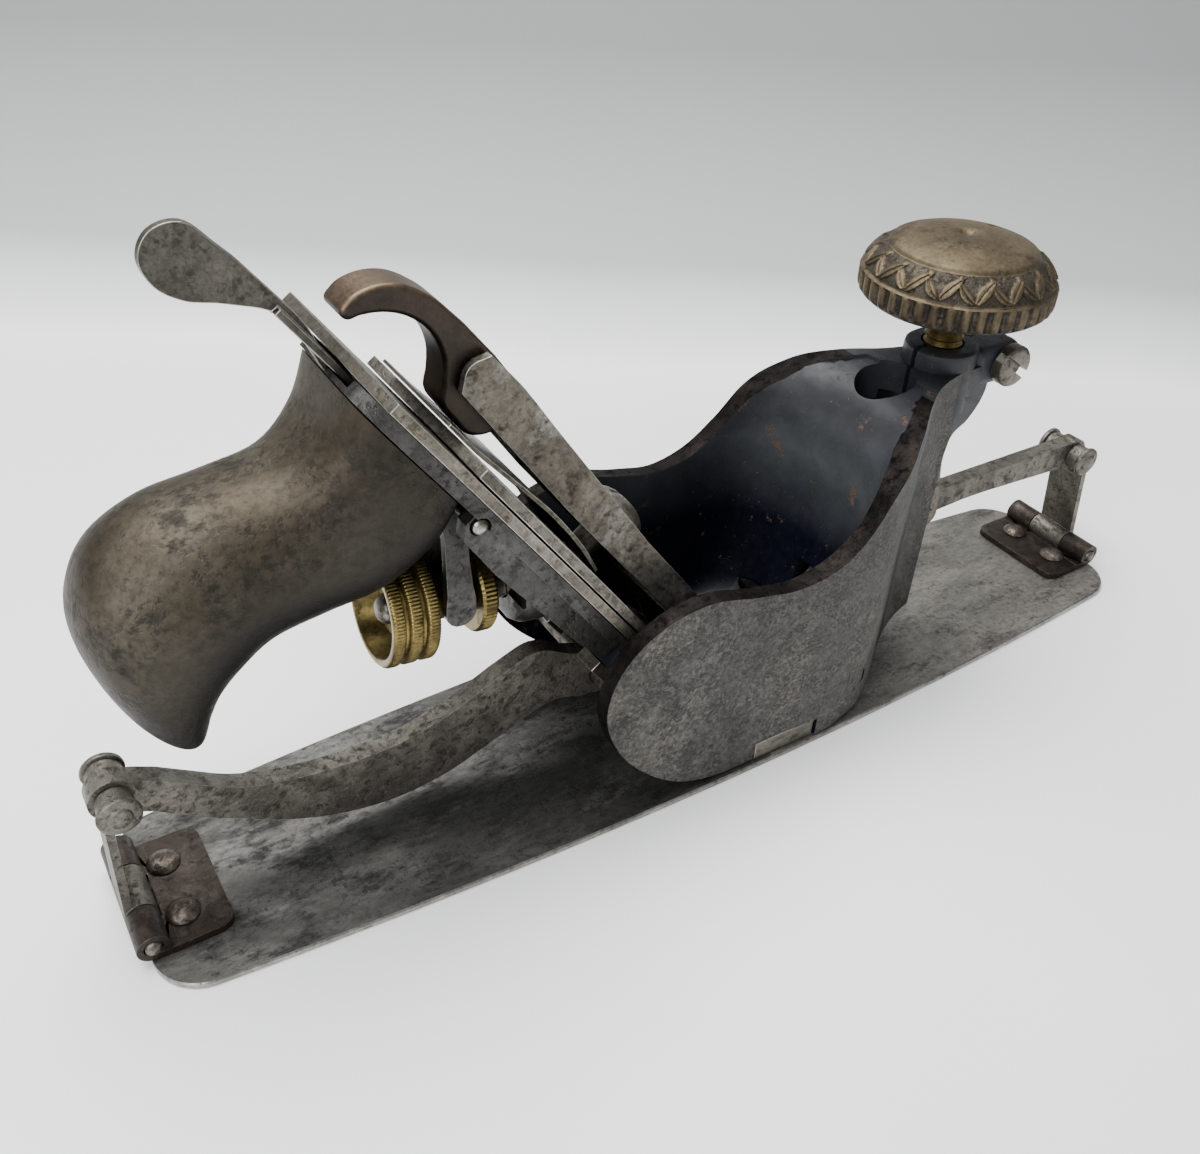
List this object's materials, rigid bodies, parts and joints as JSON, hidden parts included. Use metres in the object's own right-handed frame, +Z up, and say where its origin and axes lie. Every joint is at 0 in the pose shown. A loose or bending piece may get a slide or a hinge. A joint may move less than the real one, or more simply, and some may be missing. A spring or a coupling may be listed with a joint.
{
  "type": "flexible-sole hand plane",
  "caption": "Metal circular hand plane with a flexible sole, geared curve arms and knob, cast iron cheeks and grip, hooked cam lever cap, brass depth wheel and steel cutter.",
  "frame": {"origin": "middle of the sole's underside, with the sole flat", "axes": "+X towards the toe, +Y towards the left side, +Z up"},
  "size_m": [0.2577, 0.0602, 0.1285],
  "materials": {
    "sole_steel": "grey mottled spring steel, satin",
    "bright_steel": "worn bright steel, light pitting",
    "rusty_steel": "steel with a brown patina and worn edges",
    "handle_iron": "grey-brown mottled cast iron, satin",
    "japanned_iron": "black japanned casting with ground grey cheeks",
    "knob_bronze": "olive-brown patina, satin",
    "old_brass": "aged brass, knurled"
  },
  "bodies": {
    "body": {"sole_middle": "sole_steel", "mouth_block": "bright_steel", "body_casting": "japanned_iron", "frog": "bright_steel", "frog_bolt_left": "bright_steel", "frog_bolt_right": "bright_steel", "handle": "handle_iron", "handle_screw_left": "bright_steel", "handle_screw_right": "bright_steel", "lever_cap": "bright_steel", "lever_cap_screw": "bright_steel", "leaf_spring": "bright_steel", "cam_pin": "bright_steel", "depth_stud": "bright_steel", "yoke_pin": "bright_steel", "lateral_pivot": "bright_steel"},
    "toe_end": {"sole_toe": "sole_steel", "toe_hinge_leaf": "rusty_steel", "toe_hinge_pin": "bright_steel", "toe_rivet_left": "rusty_steel", "toe_rivet_right": "rusty_steel"},
    "toe_strap": {"toe_link": "rusty_steel", "toe_arm_pin": "bright_steel"},
    "heel_end": {"sole_heel": "sole_steel", "heel_hinge_leaf": "rusty_steel", "heel_hinge_pin": "bright_steel", "heel_rivet_left": "rusty_steel", "heel_rivet_right": "rusty_steel"},
    "heel_strap": {"heel_link": "rusty_steel", "heel_arm_pin": "bright_steel"},
    "front_lever": {"front_arm": "bright_steel", "front_shaft": "bright_steel", "front_sector": "rusty_steel", "front_sector_screw": "bright_steel"},
    "rear_lever": {"rear_arm": "bright_steel", "rear_shaft": "bright_steel", "rear_sector": "rusty_steel", "rear_sector_screw": "bright_steel"},
    "swivel": {"swivel_block": "bright_steel"},
    "knob_and_screw": {"knob": "knob_bronze", "adjusting_screw": "old_brass"},
    "drop_link": {"link_plate_right": "bright_steel", "link_plate_left": "bright_steel", "upper_link_pin": "bright_steel", "lower_link_pin": "bright_steel"},
    "wheel_carriage": {"wheel_collar": "old_brass"},
    "wheel": {"depth_wheel": "old_brass"},
    "yoke": {"yoke": "bright_steel"},
    "chip_screw": {"cap_iron_screw": "bright_steel"},
    "cutter": {"iron": "bright_steel", "cap_iron": "rusty_steel"},
    "side_lever": {"lateral_lever": "bright_steel", "lateral_roller": "bright_steel"},
    "cam": {"cam_lever": "handle_iron"},
    "clamp": {"clamp_screw": "bright_steel"}
  },
  "joints": [
    {"name": "screw_travel", "type": "slide", "parent": "body", "child": "swivel", "axis": [0, 0, 1], "range_m": [-0.0045, 0.0045]},
    {"name": "knob_turn", "type": "hinge", "parent": "swivel", "child": "knob_and_screw", "pos_m": [0.0615, 0, 0.088], "axis": [0, 0, 1], "range_deg": [-1020, 1020]},
    {"name": "drop_link_swing", "type": "hinge", "parent": "swivel", "child": "drop_link", "pos_m": [0.0615, 0, 0.0505], "axis": [0, -1, 0], "range_deg": [-7.4, 7.4]},
    {"name": "front_arm_swing", "type": "hinge", "parent": "body", "child": "front_lever", "pos_m": [0.028, 0, 0.012], "axis": [0, -1, 0], "range_deg": [-6.6, 6.6]},
    {"name": "rear_arm_swing", "type": "hinge", "parent": "body", "child": "rear_lever", "pos_m": [-0.026, 0, 0.019], "axis": [0, 1, 0], "range_deg": [-6.6, 6.6]},
    {"name": "toe_flex", "type": "hinge", "parent": "body", "child": "toe_end", "pos_m": [0.022, 0, 0.00075], "axis": [0, -1, 0], "range_deg": [-6.1, 6.1]},
    {"name": "heel_flex", "type": "hinge", "parent": "body", "child": "heel_end", "pos_m": [-0.012, 0, 0.00075], "axis": [0, 1, 0], "range_deg": [-5.8, 5.8]},
    {"name": "toe_strap_swing", "type": "hinge", "parent": "toe_end", "child": "toe_strap", "pos_m": [0.1254, 0, 0.005], "axis": [0, -1, 0], "range_deg": [-2.2, 2.2]},
    {"name": "heel_strap_swing", "type": "hinge", "parent": "heel_end", "child": "heel_strap", "pos_m": [-0.1262, 0, 0.005], "axis": [0, 1, 0], "range_deg": [-3.5, 3.5]},
    {"name": "wheel_travel", "type": "slide", "parent": "body", "child": "wheel_carriage", "axis": [0.9951, 0, -0.0993], "range_m": [-0.004, 0.004]},
    {"name": "wheel_turn", "type": "hinge", "parent": "wheel_carriage", "child": "wheel", "pos_m": [-0.0752, 0, 0.0528], "axis": [0.9951, 0, -0.0993], "range_deg": [-1610, 1610]},
    {"name": "yoke_rock", "type": "hinge", "parent": "body", "child": "yoke", "pos_m": [-0.0604, 0, 0.0758], "axis": [0, 1, 0], "range_deg": [-9.6, 9.6]},
    {"name": "iron_depth", "type": "slide", "parent": "body", "child": "chip_screw", "axis": [-0.5976, 0, 0.8018], "range_m": [-0.00116, 0.00116]},
    {"name": "side_lever_swing", "type": "hinge", "parent": "body", "child": "side_lever", "pos_m": [-0.07356, 0, 0.09763], "axis": [0.8018, 0, 0.5976], "range_deg": [-2.1, 2.1]},
    {"name": "iron_skew", "type": "hinge", "parent": "chip_screw", "child": "cutter", "pos_m": [-0.04486, 0, 0.06414], "axis": [0.8018, 0, 0.5976], "range_deg": [-0.8, 0.8]},
    {"name": "cam_open", "type": "hinge", "parent": "body", "child": "cam", "pos_m": [-0.0514, 0, 0.09232], "axis": [0, 1, 0], "range_deg": [0, 90]},
    {"name": "clamp_turn", "type": "hinge", "parent": "body", "child": "clamp", "pos_m": [0.075, 0, 0.072], "axis": [0, 1, 0], "range_deg": [-90, 90]}
  ],
  "couplings": [
    {"joint": "knob_turn", "follows": "screw_travel", "rad_per_m": 3927},
    {"joint": "drop_link_swing", "follows": "screw_travel", "rad_per_m": -28.24},
    {"joint": "front_arm_swing", "follows": "screw_travel", "rad_per_m": 25.09},
    {"joint": "rear_arm_swing", "follows": "screw_travel", "rad_per_m": 25.09},
    {"joint": "toe_flex", "follows": "screw_travel", "rad_per_m": 23.206},
    {"joint": "heel_flex", "follows": "screw_travel", "rad_per_m": 21.836},
    {"joint": "toe_strap_swing", "follows": "screw_travel", "rad_per_m": -8.144},
    {"joint": "heel_strap_swing", "follows": "screw_travel", "rad_per_m": -13.175},
    {"joint": "wheel_turn", "follows": "wheel_travel", "rad_per_m": 6981},
    {"joint": "yoke_rock", "follows": "wheel_travel", "rad_per_m": -41},
    {"joint": "iron_depth", "follows": "wheel_travel", "ratio": 0.2787},
    {"joint": "iron_skew", "follows": "side_lever_swing", "ratio": -0.375}
  ]
}
